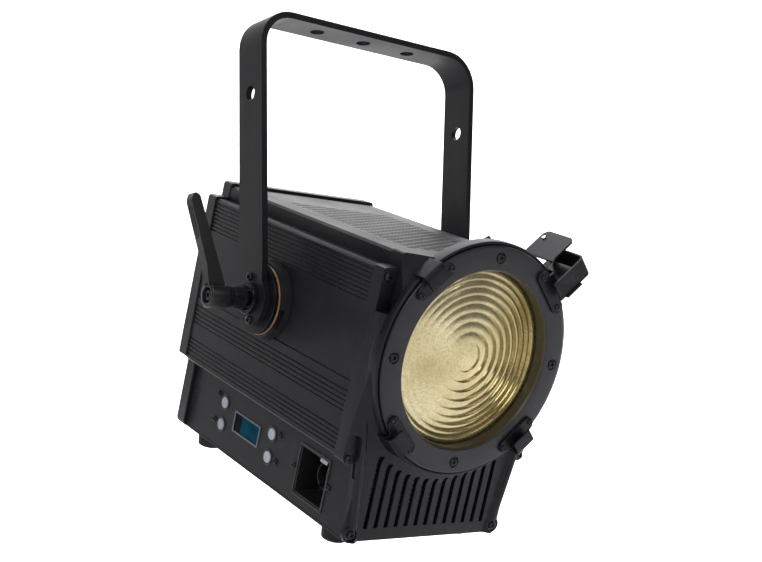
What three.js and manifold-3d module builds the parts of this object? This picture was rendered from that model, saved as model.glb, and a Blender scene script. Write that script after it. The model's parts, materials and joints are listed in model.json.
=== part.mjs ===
// Theatre fresnel spotlight with motorised zoom, hung from its yoke.
// Millimetres, +Z up. The lens faces -Y, the rear is +Y, and the control panel is on the -X side.
// The origin is the middle clamp-bolt hole, at the yoke's top face. The head's own frame has its
// origin on the tilt axis, with the light leaving along its -Y, and is pitched down by TILT_DEG.
import * as THREE from 'three';
import { mergeVertices } from 'three/addons/utils/BufferGeometryUtils.js';
import Module from 'manifold-3d';

const wasm = await Module();
wasm.setup();

// ---------- driving dimensions ----------
const GAP = 0.3;                 // clearance between touching pieces

const YOKE_HEIGHT = 240;         // tilt axis to the top of the crossbar
const YOKE_HALF = 112;           // half the yoke's outer width at the tilt axis
const YOKE_SPLAY = 0.030;        // outward lean of each leg, above its straight end
const SPLAY_Z = 30;
const STRAP_WIDTH = 35;
const STRAP_THICK = 5.5;
const BEND_RADIUS = 30;
const YOKE_END_RADIUS = 22;
const CLAMP_HOLE_R = 6.25;       // for an M12 clamp bolt
const CLAMP_PITCH = 50;
const LEG_HOLE_Z = 169.5;        // above the tilt axis
const TILT_DEG = 18.6;

const HEAD_HALF = 92.5;          // half width of the wide upper section
const SHOULDER_HALF = 80;
const BASE_HALF = 79;            // half width of the narrow lower section
const TOP_Z = 74.5;
const SHOULDER_Z = 62;
const LIP_Z = -87;
const BOTTOM_Z = -151;
const BODY_FRONT = -139;         // front of the lower box
const SKIN_FRONT = -128;         // front edge of the grooved skins, under the casting's band
const BODY_REAR = 116;
const REAR_Y = 130;
const EYE_Z = 64;                // safety eye, on the rear frame
const SKIN = 2.5;

const RING_R = 91.2;
const RING_BORE_R = 71;
const RING_FRONT = -159;
const RING_BACK = -154.3;
const COLLAR_R = 94.2;           // the casting's collar, with a lip around the ring
const COLLAR_BACK = -146;
const LENS_R = 78;
const LENS_FRONT = -148.3;
const LENS_THICK = 8;
const ACCESSORY_FRONT = -167.5;  // front of the accessory clips
const CLIP_SHEET = 1.8;
const CLIP_OUTER = 97;
const SCREW_CIRCLE_R = 84;

const PIVOT_HOLE_R = 6.2;
const BOSS_R = 31;
const DISC_R = 29;

const INLET = { y: -87.5, z: -120.5, size: 41, depth: 26 };
const DISPLAY = { y: 16.3, z: -118.3, width: 40.5, height: 16.5 };
const BUTTONS = [[57, -108.6], [57, -128.6], [-23, -108.5], [-23, -128.6]];
const BUTTON_R = 4.9;

const FOOT_X = 62.5;
const FOOT_ENDS = [['front', -111], ['rear', 96]];

// ---------- finishes ----------
const finish = (color, roughness, metalness) => ({ color, roughness, metalness });
const BLACK = finish(0x1b1b1d, 0.45, 0.3);
const STEEL_BLACK = finish(0x222224, 0.4, 0.6);
const PLASTIC_BLACK = finish(0x17181a, 0.5, 0);
const BARE = finish(0xb4b6b8, 0.35, 0.9);
const RUBBER = finish(0x101010, 0.9, 0);
const FIBRE = finish(0xa45a2c, 0.7, 0);
const GLASS = finish(0xe2c878, 0.1, 0);
const BOARD = finish(0x1d4a2c, 0.6, 0);
const SILVER = finish(0xbfc3ca, 0.4, 0);
const SCREEN = finish(0x17407c, 0.2, 0);

// ---------- solids ----------
const FACES_X = new THREE.Matrix4().makeBasis(
  new THREE.Vector3(0, 1, 0), new THREE.Vector3(0, 0, 1), new THREE.Vector3(1, 0, 0));
const FACES_FRONT = new THREE.Matrix4().makeBasis(
  new THREE.Vector3(1, 0, 0), new THREE.Vector3(0, 0, 1), new THREE.Vector3(0, -1, 0));

function solid(geometry) {
  const g = geometry.clone();
  for (const name of ['normal', 'uv', 'color']) g.deleteAttribute(name);
  const m = mergeVertices(g, 1e-4);
  const corners = [];
  for (let i = 0; i < m.index.count; i += 3) {
    const [a, b, c] = m.index.array.slice(i, i + 3);
    if (a !== b && b !== c && c !== a) corners.push(a, b, c);
  }
  return new wasm.Manifold(new wasm.Mesh({
    numProp: 3,
    vertProperties: new Float32Array(m.attributes.position.array),
    triVerts: new Uint32Array(corners),
  }));
}

function geometryOf(body) {
  const m = body.getMesh();
  const g = new THREE.BufferGeometry();
  g.setAttribute('position', new THREE.BufferAttribute(new Float32Array(m.vertProperties), 3));
  g.setIndex(new THREE.BufferAttribute(new Uint32Array(m.triVerts), 1));
  g.computeVertexNormals();
  return g;
}

const join = (...bodies) => bodies.reduce((a, b) => a.add(b));
const cut = (body, ...tools) => tools.reduce((a, b) => a.subtract(b), body);

function box(x0, x1, y0, y1, z0, z1) {
  const g = new THREE.BoxGeometry(x1 - x0, y1 - y0, z1 - z0);
  return solid(g.translate((x0 + x1) / 2, (y0 + y1) / 2, (z0 + z1) / 2));
}

// A cylinder or frustum along an axis, from a to b, centred on the other two coordinates.
function rod(axis, a, b, radius, [u, v] = [0, 0], segments = 20, radiusB = radius) {
  const g = new THREE.CylinderGeometry(radiusB, radius, b - a, segments);
  g.translate(0, (a + b) / 2, 0);
  if (axis === 'x') g.rotateZ(-Math.PI / 2).translate(0, u, v);
  if (axis === 'y') g.translate(u, 0, v);
  if (axis === 'z') g.rotateX(Math.PI / 2).translate(u, v, 0);
  return solid(g);
}

// A ring with the given section, [radius, height] points, turned about Y.
function lathe(section, segments = 32) {
  const points = section.map(([r, h]) => new THREE.Vector2(r, h));
  if (THREE.ShapeUtils.isClockWise(points)) points.reverse();
  return new THREE.LatheGeometry([...points, points[0]], segments);
}

// An XZ outline drawn out along Y, or a YZ outline drawn out along X.
function shapeOf(points, holes = []) {
  const shape = new THREE.Shape(points.map(([a, b]) => new THREE.Vector2(a, b)));
  for (const hole of holes) {
    shape.holes.push(new THREE.Path(hole.map(([a, b]) => new THREE.Vector2(a, b))));
  }
  return shape;
}

function extrudeY(points, y0, y1, holes = []) {
  const g = new THREE.ExtrudeGeometry(shapeOf(points, holes), { depth: y1 - y0, bevelEnabled: false });
  return solid(g.applyMatrix4(FACES_FRONT).translate(0, y1, 0));
}

function extrudeX(points, x0, x1, holes = []) {
  const g = new THREE.ExtrudeGeometry(shapeOf(points, holes), { depth: x1 - x0, bevelEnabled: false });
  return solid(g.applyMatrix4(FACES_X).translate(x0, 0, 0));
}

// Rounds the corners of a polygon: each point is [a, b] or [a, b, radius].
function rounded(points, steps = 4) {
  const out = [];
  points.forEach(([a, b, radius], i) => {
    if (!radius) {
      out.push([a, b]);
      return;
    }
    const here = new THREE.Vector2(a, b);
    const before = new THREE.Vector2(...points[(i + points.length - 1) % points.length].slice(0, 2));
    const after = new THREE.Vector2(...points[(i + 1) % points.length].slice(0, 2));
    const toBefore = before.sub(here).normalize();
    const toAfter = after.sub(here).normalize();
    const half = Math.acos(THREE.MathUtils.clamp(toBefore.dot(toAfter), -1, 1)) / 2;
    const reach = radius / Math.tan(half);
    const inwards = toBefore.clone().add(toAfter).normalize();
    const centre = inwards.multiplyScalar(radius / Math.sin(half)).add(here);
    const start = toBefore.clone().multiplyScalar(reach).add(here).sub(centre);
    const end = toAfter.clone().multiplyScalar(reach).add(here).sub(centre);
    const turn = Math.atan2(start.cross(end), start.dot(end));
    for (let k = 0; k <= steps; k += 1) {
      const p = start.clone().rotateAround(new THREE.Vector2(), turn * k / steps).add(centre);
      out.push([p.x, p.y]);
    }
  });
  return out;
}

const mirrored = (points) => points.map(([a, b, r]) => [-a, b, r]).reverse();
const symmetric = (half) => [...half, ...mirrored(half)];

const group = new THREE.Group();
const head = new THREE.Group();
head.position.z = -YOKE_HEIGHT;
head.rotation.x = THREE.MathUtils.degToRad(TILT_DEG);
const yoke = new THREE.Group();
yoke.position.z = -YOKE_HEIGHT;
group.add(yoke, head);

function add(parent, name, geometry, look) {
  const mesh = new THREE.Mesh(geometry, new THREE.MeshStandardMaterial(look));
  mesh.name = name;
  parent.add(mesh);
  return mesh;
}

const addSolid = (parent, name, body, look) => add(parent, name, geometryOf(body), look);
const SIDES = [['left', -1], ['right', 1]];

// Copies a left-hand body to the right-hand side.
const sided = (body, side) => (side < 0 ? body : body.mirror([1, 0, 0]));

// ---------- yoke ----------
function yokeBracket() {
  const top = YOKE_HEIGHT;
  const inner = YOKE_HALF - STRAP_THICK;
  const outerTop = YOKE_HALF + YOKE_SPLAY * (top - SPLAY_Z);
  const innerTop = outerTop - STRAP_THICK;
  const under = top - STRAP_THICK;
  const half = [
    [0, under], [-innerTop, under, BEND_RADIUS - STRAP_THICK], [-inner, SPLAY_Z], [-inner, 0],
    [-YOKE_HALF, 0], [-YOKE_HALF, SPLAY_Z], [-outerTop, top, BEND_RADIUS], [0, top],
  ];
  const outline = rounded([...half, ...mirrored(half).slice(1, -1)], 8);
  let body = extrudeY(outline, -STRAP_WIDTH / 2, STRAP_WIDTH / 2);
  for (const [, side] of SIDES) {
    const inside = side * inner;
    const outside = side * YOKE_HALF;
    const from = Math.min(inside, outside);
    const to = Math.max(inside, outside);
    body = join(body, rod('x', from, to, YOKE_END_RADIUS, [0, 0], 32));
    body = cut(body, rod('x', from - 2, to + 2, PIVOT_HOLE_R));
    body = cut(body, rod('x', from - 3, to + 16, CLAMP_HOLE_R, [0, LEG_HOLE_Z]));
    body = cut(body, rod('x', from - 16, to + 3, CLAMP_HOLE_R, [0, LEG_HOLE_Z]));
  }
  for (const x of [-CLAMP_PITCH, 0, CLAMP_PITCH]) {
    body = cut(body, rod('z', top - STRAP_THICK - 2, top + 2, CLAMP_HOLE_R, [x, 0]));
  }
  return body;
}
addSolid(yoke, 'yoke_bracket', yokeBracket(), BLACK);

const DISC_OUT = YOKE_HALF - STRAP_THICK - GAP;
const DISC_IN = DISC_OUT - 3.4;
const WASHER_OUT = DISC_IN - GAP;
const WASHER_IN = WASHER_OUT - 1;
const BOSS_OUT = WASHER_IN - GAP;
const BOSS_IN = HEAD_HALF + GAP;

for (const [label, side] of SIDES) {
  const disc = cut(
    rod('x', -DISC_OUT, -DISC_IN, DISC_R, [0, 0], 32),
    rod('x', -DISC_OUT - 1, -DISC_IN + 1, PIVOT_HOLE_R));
  addSolid(yoke, `friction_disc_${label}`, sided(disc, side), STEEL_BLACK);
}

function pivotCup() {
  const out = YOKE_HALF + GAP;
  return cut(
    rod('x', -out - 4, -out, 13, [0, 0], 32),
    rod('x', -out - 5, -out - 1.2, 10.4, [0, 0], 32),
    rod('x', -out - 5, -out + 1, PIVOT_HOLE_R));
}

// ---------- clamp levers ----------
const STUD_R = 5;
const STUD_END = 84;             // the stud's inner end
const HUB_IN = 130.3;
const HUB_OUT = 152;
const HUB_R = 10;

function clampStud() {
  return join(
    rod('x', -YOKE_HALF - 8, -STUD_END, STUD_R),
    rod('x', -HUB_IN + GAP, -YOKE_HALF - 6.5, 9, [0, 0], 32),
    rod('x', -141, -HUB_IN + 1, STUD_R, [0, 0], 16));
}

function leverHandle() {
  const arm = extrudeY(rounded([
    [-136.5, 2], [-152, 2], [-155.5, 24], [-170.5, 75, 4], [-168.5, 81, 2], [-163.5, 79, 2], [-137.5, 9],
  ]), -5, 5);
  const hub = join(rod('x', -HUB_OUT, -HUB_IN, HUB_R, [0, 0], 32), arm);
  return cut(
    hub,
    rod('x', -HUB_IN - 11.2, -HUB_IN + 1, STUD_R + 0.4, [0, 0], 16),
    rod('x', -HUB_OUT - 1, -HUB_OUT + 8.5, 6.5, [0, 0], 24),
    rod('x', -HUB_OUT, -HUB_IN, 2.4, [0, 0], 16));
}

function leverScrew() {
  const body = join(
    rod('x', -151, -147.8, 4.2, [0, 0], 24),
    rod('x', -148, -141.3, 2, [0, 0], 16));
  return cut(body, rod('x', -152, -149.2, 2, [0, 0], 6));
}

const LEVER_TURN = { left: 0, right: -13 };
for (const [label, side] of SIDES) {
  const turned = new THREE.Group();
  turned.rotation.x = THREE.MathUtils.degToRad(LEVER_TURN[label]);
  yoke.add(turned);
  addSolid(yoke, `pivot_cup_${label}`, sided(pivotCup(), side), STEEL_BLACK);
  addSolid(turned, `clamp_stud_${label}`, sided(clampStud(), side), BARE);
  addSolid(turned, `lever_handle_${label}`, sided(leverHandle(), side), PLASTIC_BLACK);
  addSolid(turned, `lever_screw_${label}`, sided(leverScrew(), side), STEEL_BLACK);
}

// ---------- tilt pivots on the head ----------
function pivotBoss() {
  const cone = rod('x', -BOSS_OUT, -BOSS_IN, BOSS_R, [0, 0], 32, BOSS_R + 2);
  const notch = box(-BOSS_OUT - 1, -BOSS_OUT + 4, -BOSS_R - 2, -BOSS_R + 5, -20, -1);
  return cut(cone, notch, rod('x', -BOSS_OUT - 1, -BOSS_IN + 1, STUD_R + 0.4));
}

for (const [label, side] of SIDES) {
  const washer = cut(
    rod('x', -WASHER_OUT, -WASHER_IN, DISC_R + 0.6, [0, 0], 32),
    rod('x', -WASHER_OUT - 1, -WASHER_IN + 1, PIVOT_HOLE_R));
  addSolid(head, `fibre_washer_${label}`, sided(washer, side), FIBRE);
  addSolid(head, `pivot_boss_${label}`, sided(pivotBoss(), side), BLACK);
}

// ---------- casing ----------
const GROOVE_BANDS = [[58, 8, 3.4], [-27.5, 1, 0], [-36, 5, 3.8], [-66.5, 5, 3.6]];

// Points down the outer wall, with a notch for each groove.
function groovedWall(x, depth, halfWidth) {
  const points = [];
  for (const [first, count, pitch] of GROOVE_BANDS) {
    for (let i = 0; i < count; i += 1) {
      const z = first - i * pitch;
      points.push([x, z + halfWidth], [x + depth, z + halfWidth * 0.6],
        [x + depth, z - halfWidth * 0.6], [x, z - halfWidth]);
    }
  }
  return points;
}

function sideSkin() {
  const outline = [
    [-62, TOP_Z], [-SHOULDER_HALF + 2, TOP_Z], [-SHOULDER_HALF, TOP_Z - 2],
    [-SHOULDER_HALF, SHOULDER_Z], [-HEAD_HALF + 2, SHOULDER_Z], [-HEAD_HALF, SHOULDER_Z - 2],
    ...groovedWall(-HEAD_HALF, 0.8, 0.8),
    [-HEAD_HALF, LIP_Z + 2], [-HEAD_HALF + 2, LIP_Z], [-70, LIP_Z], [-70, LIP_Z + SKIN],
    [-HEAD_HALF + SKIN, LIP_Z + SKIN], [-HEAD_HALF + SKIN, SHOULDER_Z - SKIN],
    [-SHOULDER_HALF + SKIN, SHOULDER_Z - SKIN], [-SHOULDER_HALF + SKIN, TOP_Z - SKIN],
    [-62, TOP_Z - SKIN],
  ];
  const skin = extrudeY(outline, SKIN_FRONT + GAP, BODY_REAR - GAP);
  return cut(skin, rod('x', -HEAD_HALF - 1, -HEAD_HALF + SKIN + 1, STUD_R + 0.6));
}
for (const [label, side] of SIDES) addSolid(head, `side_skin_${label}`, sided(sideSkin(), side), BLACK);

function topGrille() {
  const half = 62 - GAP;
  const plate = box(-half, half, SKIN_FRONT + GAP, BODY_REAR - GAP, TOP_Z - SKIN, TOP_Z);
  const slots = [];
  for (let row = 0; row < 12; row += 1) {
    for (const x of [-36, 0, 36]) {
      const y = -108 + row * 17;
      slots.push(box(x - 15, x + 15, y - 2, y + 2, TOP_Z - SKIN - 1, TOP_Z + 1));
    }
  }
  return cut(plate, wasm.Manifold.compose(slots));
}
addSolid(head, 'top_grille', topGrille(), BLACK);

function bottomTray() {
  const plate = box(-BASE_HALF, BASE_HALF, BODY_FRONT + GAP, BODY_REAR - GAP, BOTTOM_Z, BOTTOM_Z + 2.2);
  const vents = [];
  for (let i = 0; i < 9; i += 1) {
    const y = -60 + i * 14;
    vents.push(box(-34, 34, y - 2.5, y + 2.5, BOTTOM_Z - 1, BOTTOM_Z + 4));
  }
  const bores = [];
  for (const x of [-FOOT_X, FOOT_X]) {
    for (const [, y] of FOOT_ENDS) bores.push(rod('z', BOTTOM_Z - 1, BOTTOM_Z + 4, 2.5, [x, y], 12));
  }
  return cut(plate, wasm.Manifold.compose(vents), ...bores);
}
addSolid(head, 'bottom_tray', bottomTray(), BLACK);

const PANEL_TOP = LIP_Z - GAP;
const PANEL_LOW = BOTTOM_Z + 2.2 + GAP;
const PANEL_IN = BASE_HALF - 2;

function controlPanel() {
  let panel = box(-BASE_HALF, -PANEL_IN, BODY_FRONT + GAP, BODY_REAR - GAP, PANEL_LOW, PANEL_TOP);
  const through = [-BASE_HALF - 1, -PANEL_IN + 1];
  const { y, z, width, height } = DISPLAY;
  panel = cut(panel, box(...through, y - width / 2, y + width / 2, z - height / 2, z + height / 2));
  const half = INLET.size / 2;
  panel = cut(panel, box(...through, INLET.y - half, INLET.y + half, INLET.z - half, INLET.z + half));
  for (const at of BUTTONS) panel = cut(panel, rod('x', ...through, BUTTON_R + 0.35, at));
  return panel;
}
addSolid(head, 'control_panel', controlPanel(), BLACK);

// The far side carries two round data sockets and a round power outlet, joined to the panel.
const SOCKETS = [[-20, 11.5], [16, 11.5], [-87.5, 13]];

function connectorPanel() {
  let panel = box(PANEL_IN, BASE_HALF, BODY_FRONT + GAP, BODY_REAR - GAP, PANEL_LOW, PANEL_TOP);
  for (const [y, radius] of SOCKETS) {
    const at = [y, INLET.z];
    panel = join(panel, rod('x', PANEL_IN - 18, BASE_HALF + 1.6, radius, at, 20));
    panel = cut(panel, rod('x', PANEL_IN - 12, BASE_HALF + 3, radius - 2, at, 20));
    panel = join(panel, rod('x', PANEL_IN - 13, BASE_HALF - 4, radius - 5, at, 14));
  }
  return panel;
}
addSolid(head, 'connector_panel', connectorPanel(), BLACK);

const REAR_OUTLINE = symmetric([
  [-SHOULDER_HALF - 0.5, 77.5, 3], [-SHOULDER_HALF - 0.5, 64], [-HEAD_HALF - 1, 64, 3],
  [-HEAD_HALF - 1, -84.5, 2], [-82.5, -89], [-82.5, BOTTOM_Z - 0.5, 5],
]);
const REAR_WINDOW = rounded([[-72, -138, 4], [72, -138, 4], [72, 56, 4], [-72, 56, 4]], 3);

function rearFrame() {
  const frame = extrudeY(rounded(REAR_OUTLINE, 3), BODY_REAR, REAR_Y);
  return cut(frame,
    extrudeY(REAR_WINDOW, BODY_REAR - 1, REAR_Y + 1),
    box(-76, 76, BODY_REAR - 1, BODY_REAR + 4, -142, 60));
}
addSolid(head, 'rear_frame', rearFrame(), BLACK);

function rearGrille() {
  const y0 = BODY_REAR + 0.6;
  let plate = box(-75.5, 75.5, y0, y0 + 3, -141.5, 59.5);
  const slots = [];
  for (let row = 0; row < 15; row += 1) {
    for (const x of [-34, 34]) {
      const z = 46 - row * 7.5;
      slots.push(box(x - 28, x + 28, y0 - 1, y0 + 4, z - 1.6, z + 1.6));
    }
  }
  return cut(plate, wasm.Manifold.compose(slots));
}
addSolid(head, 'rear_grille', rearGrille(), BLACK);

function safetyEye() {
  const y0 = REAR_Y + GAP;
  const centre = [y0 + 7, EYE_Z];
  const ring = cut(
    rod('x', -3, 3, 10, centre, 28),
    rod('x', -4, 4, 6, centre, 28),
    box(-4, 4, y0 - 12, y0, 50, 90));
  return join(ring, box(-11, 11, y0, y0 + 3, EYE_Z - 8.5, EYE_Z + 8.5));
}
addSolid(head, 'safety_eye', safetyEye(), STEEL_BLACK);

// ---------- front casting, ring and lens ----------
const SLOT_COUNT = 13;
const SLOT_PITCH = 10;
const SLOT_ARC_R = 101.5;
const BAND_IN = 77;              // inner half width of the band behind the casting's face

function frontCasting() {
  const outline = rounded(symmetric([
    [-SHOULDER_HALF - 0.5, TOP_Z + 1, 3], [-SHOULDER_HALF - 0.5, SHOULDER_Z + 1.5],
    [-93.4, SHOULDER_Z + 0.5, 3], [-93.4, LIP_Z - 1, 3],
    [-BASE_HALF - 0.2, LIP_Z - 3], [-BASE_HALF - 0.2, BOTTOM_Z - 0.5, 4],
  ]), 3);
  const prism = extrudeY(outline, -150, BODY_FRONT);
  const band = cut(
    extrudeY(outline, BODY_FRONT - 1, SKIN_FRONT),
    box(-BAND_IN, BAND_IN, BODY_FRONT - 2, SKIN_FRONT + 1, LIP_Z - 1, TOP_Z - 5),
    box(-100, 100, BODY_FRONT, SKIN_FRONT + 1, BOTTOM_Z - 2, LIP_Z));
  const cone = rod('y', -150.2, BODY_FRONT, COLLAR_R, [0, 0], 48, COLLAR_R + 30);
  const apron = box(-BASE_HALF - 1, BASE_HALF + 1, -143, BODY_FRONT, BOTTOM_Z - 1, -60);
  const pillars = [-1, 1].map((side) => extrudeY(rounded([
    [side * 67, BOTTOM_Z - 1], [side * (BASE_HALF + 0.2), BOTTOM_Z - 1],
    [side * (BASE_HALF + 0.2), LIP_Z - 3], [side * 90, LIP_Z + 6], [side * 90, -52], [side * 80, -52],
  ]), -146.5, BODY_FRONT).intersect(prism));
  const collar = join(
    rod('y', RING_FRONT + 2, COLLAR_BACK, COLLAR_R, [0, 0], 48),
    rod('y', COLLAR_BACK - 1, BODY_FRONT, COLLAR_R - 4, [0, 0], 48));
  let body = join(cone.intersect(prism), apron.intersect(prism), ...pillars, band, collar);
  const lensBack = LENS_FRONT + LENS_THICK + GAP;
  body = cut(body,
    rod('y', -160, RING_BACK + GAP, RING_R + 0.6, [0, 0], 48),
    rod('y', -160, lensBack, LENS_R + 0.6, [0, 0], 48),
    rod('y', -160, BODY_FRONT + 1, LENS_R - 4, [0, 0], 48));
  const slots = [];
  for (let i = 0; i < SLOT_COUNT; i += 1) {
    const x = (i - (SLOT_COUNT - 1) / 2) * SLOT_PITCH;
    const top = -Math.sqrt(SLOT_ARC_R ** 2 - x * x);
    slots.push(box(x - 2, x + 2, -150, BODY_FRONT + 1, -141.5, top));
  }
  return cut(body, wasm.Manifold.compose(slots));
}
addSolid(head, 'front_casting', frontCasting(), BLACK);

add(head, 'lens_ring', lathe([
  [RING_BORE_R, LENS_FRONT - GAP], [75.2, LENS_FRONT - GAP], [75.2, RING_BACK], [RING_R, RING_BACK],
  [RING_R, RING_FRONT + 1.2], [RING_R - 1.2, RING_FRONT], [RING_BORE_R + 2, RING_FRONT],
  [RING_BORE_R, RING_FRONT + 2],
], 48), BLACK);

add(head, 'lens_gasket', lathe([
  [75.6, RING_BACK + GAP], [78.2, RING_BACK + GAP], [78.2, LENS_FRONT - GAP], [75.6, LENS_FRONT - GAP],
], 36), RUBBER);

// A stepped face: each ring rises away from the centre and drops back to the base level.
function fresnelLens() {
  const back = LENS_FRONT + LENS_THICK;
  const rings = 7;
  const points = [[0, LENS_FRONT + 0.2]];
  for (let i = 1; i <= rings; i += 1) {
    const outer = 12 + (i - 1) * 9.6;
    points.push([outer, LENS_FRONT + 2.6], [outer + 0.8, LENS_FRONT + 0.2]);
  }
  points.push([LENS_R, LENS_FRONT + 0.2], [LENS_R, back], [0, back]);
  return new THREE.LatheGeometry(points.map(([r, h]) => new THREE.Vector2(r, h)), 36);
}
addSolid(head, 'fresnel_lens', solid(fresnelLens()), GLASS);

// ---------- accessory clips ----------
// Local frame: X along the ring, Z away from the light's axis.
function atAngle(degrees) {
  const g = new THREE.Group();
  g.rotation.y = THREE.MathUtils.degToRad(90 - degrees);
  head.add(g);
  return g;
}

const EAR_X = 16;
const EAR_R = 5.5;

function earPlate(outer) {
  const y = [RING_FRONT - GAP - CLIP_SHEET, RING_FRONT - GAP];
  const ears = [-1, 1].map((side) => rod('y', ...y, EAR_R, [side * EAR_X, SCREW_CIRCLE_R], 20));
  return join(
    box(-EAR_X, EAR_X, ...y, SCREW_CIRCLE_R - EAR_R, SCREW_CIRCLE_R + EAR_R),
    box(-9.2, 9.2, ...y, SCREW_CIRCLE_R, outer),
    ...ears);
}

// A sheet bent from a plate along the axis into a lip that turns inwards.
function hookSheet(rear, outer, lipEnd, halfWidth) {
  const front = ACCESSORY_FRONT;
  const t = CLIP_SHEET;
  return extrudeX(rounded([
    [rear, outer - t], [rear, outer], [front, outer, 5], [front, lipEnd],
    [front + t, lipEnd], [front + t, outer - t, 3.2],
  ]), -halfWidth, halfWidth);
}

function accessoryClip() {
  return join(hookSheet(-150.5, CLIP_OUTER, 83.5, 9.2), earPlate(CLIP_OUTER - 1));
}
for (const [name, degrees] of [['top_left', 135], ['bottom_left', 225], ['bottom_right', 315]]) {
  addSolid(atAngle(degrees), `accessory_clip_${name}`, accessoryClip(), STEEL_BLACK);
}

const LATCH = { y: -121, r: 124, cheek: 12, outer: 122.5 };

function latchBracket() {
  const cheek = [
    [-161.1, 86], [-161.1, 94], [-152.8, 101.2], [-149, 108], [-149, 129, 4], [-146, 132.5, 4],
    [-118.5, 132.5, 4], [-115.5, 128, 3], [-115.5, 104],
    [-151, 104], [-151, 95.2], [-159.3, 95.2], [-159.3, 86],
  ];
  const cheeks = [-1, 1].map((side) => extrudeX(rounded(cheek, 3),
    side * LATCH.cheek - CLIP_SHEET / 2, side * LATCH.cheek + CLIP_SHEET / 2));
  const floor = box(-LATCH.cheek, LATCH.cheek, -157, -150.6, 95.2, 96.8);
  const body = join(...cheeks, earPlate(93), floor,
    box(-LATCH.cheek, LATCH.cheek, -161.1, -159.3, 86, 94));
  return cut(body, rod('x', -20, 20, 2.2, [LATCH.y, LATCH.r], 16));
}

function latchFlap() {
  const sheet = hookSheet(LATCH.y - 3, LATCH.outer, 86, 8.5);
  const barrel = rod('x', -8.5, 8.5, 3.8, [LATCH.y, LATCH.r - 1], 20);
  const tab = box(8.2, 10, ACCESSORY_FRONT - 1.5, ACCESSORY_FRONT + CLIP_SHEET, 92, 109);
  return cut(join(sheet, barrel, tab), rod('x', -20, 20, 2.2, [LATCH.y, LATCH.r], 16));
}

const latchPlace = atAngle(45);
addSolid(latchPlace, 'latch_bracket', latchBracket(), STEEL_BLACK);
addSolid(latchPlace, 'latch_flap', latchFlap(), STEEL_BLACK);
addSolid(latchPlace, 'latch_pin', rod('x', -14, 14, 1.9, [LATCH.y, LATCH.r], 16), BARE);

// ---------- controls and inlet ----------
const BUTTON_NAMES = ['button_rear_upper', 'button_rear_lower', 'button_front_upper', 'button_front_lower'];
BUTTONS.forEach((at, i) => {
  const cap = join(
    rod('x', -BASE_HALF - 1.2, -PANEL_IN + 3, BUTTON_R, at),
    rod('x', -PANEL_IN + 1.6, -PANEL_IN + 3, BUTTON_R + 1.2, at));
  addSolid(head, BUTTON_NAMES[i], cap, SILVER);
});

addSolid(head, 'display_window', box(-BASE_HALF + 0.5, -PANEL_IN + 2,
  DISPLAY.y - DISPLAY.width / 2 + GAP, DISPLAY.y + DISPLAY.width / 2 - GAP,
  DISPLAY.z - DISPLAY.height / 2 + GAP, DISPLAY.z + DISPLAY.height / 2 - GAP), SCREEN);

const POCKET_WALL = 1.6;

function inletPocket() {
  const { y, z, depth } = INLET;
  const outer = INLET.size / 2 - GAP;
  const inner = outer - POCKET_WALL;
  const floor = -BASE_HALF + depth;
  return cut(
    box(-BASE_HALF, floor, y - outer, y + outer, z - outer, z + outer),
    box(-BASE_HALF - 1, floor - POCKET_WALL, y - inner, y + inner, z - inner, z + inner),
    rod('x', -BASE_HALF, floor + 1, 10.5, [y, z]));
}
addSolid(head, 'inlet_pocket', inletPocket(), PLASTIC_BLACK);

// The socket's flange seats on the pocket's floor.
const INLET_FACE = -BASE_HALF + INLET.depth - POCKET_WALL - GAP;

function mainsInlet() {
  const { y, z } = INLET;
  return cut(
    join(
      rod('x', INLET_FACE - 11, INLET_FACE, 11.8, [y, z], 28),
      rod('x', INLET_FACE - 1, INLET_FACE + 14, 10, [y, z], 28)),
    rod('x', INLET_FACE - 12, INLET_FACE + 2, 9.6, [y, z], 28));
}
addSolid(head, 'mains_inlet', mainsInlet(), PLASTIC_BLACK);

// A small lever above the socket hooks over the plug.
const BAIL = { x: INLET_FACE - 3, z: INLET.z + 14 };

function inletLatch() {
  const { y } = INLET;
  return join(
    rod('y', y - 6, y + 6, 1.4, [BAIL.x, BAIL.z], 12),
    box(BAIL.x - 12, BAIL.x + 0.5, y - 5, y + 5, BAIL.z - 0.8, BAIL.z + 0.8),
    box(BAIL.x - 12, BAIL.x - 10.6, y - 5, y + 5, BAIL.z - 3, BAIL.z + 0.8));
}
addSolid(head, 'inlet_latch', inletLatch(), BARE);

for (const [end, y] of FOOT_ENDS) {
  for (const [label, side] of SIDES) {
    const foot = rod('z', BOTTOM_Z - 12, BOTTOM_Z - GAP, 10.5, [side * FOOT_X, y], 28, 12);
    addSolid(head, `foot_${end}_${label}`, foot, RUBBER);
  }
}

// ---------- inside: light engine on a motor-driven carriage ----------
const ROD_X = 66;
const ROD_R = 4;
const ROD_Z = 20;
const SCREW_Z = -70;
const BULKHEAD_FRONT = [-126, -123];
const BULKHEAD_REAR = [106, 109];

function bulkhead([y0, y1], boreR) {
  const plate = box(-74, 74, y0, y1, -84, 58);
  return cut(plate,
    rod('y', y0 - 1, y1 + 1, boreR, [0, 0], 28),
    rod('y', y0 - 1, y1 + 1, 3.4, [0, SCREW_Z], 16));
}
addSolid(head, 'front_bulkhead', bulkhead(BULKHEAD_FRONT, 62), STEEL_BLACK);
addSolid(head, 'rear_bulkhead', bulkhead(BULKHEAD_REAR, 46), STEEL_BLACK);

for (const [label, side] of SIDES) {
  const guide = rod('y', BULKHEAD_FRONT[1] + GAP, BULKHEAD_REAR[0] - GAP, ROD_R, [side * ROD_X, ROD_Z], 16);
  addSolid(head, `guide_rod_${label}`, guide, BARE);
}

const MOTOR_FRONT = BULKHEAD_REAR[0] - 25.7;
const leadscrew = rod('y', BULKHEAD_FRONT[0] - 2, MOTOR_FRONT - GAP, 3, [0, SCREW_Z], 16);
addSolid(head, 'leadscrew', leadscrew, BARE);

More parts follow.
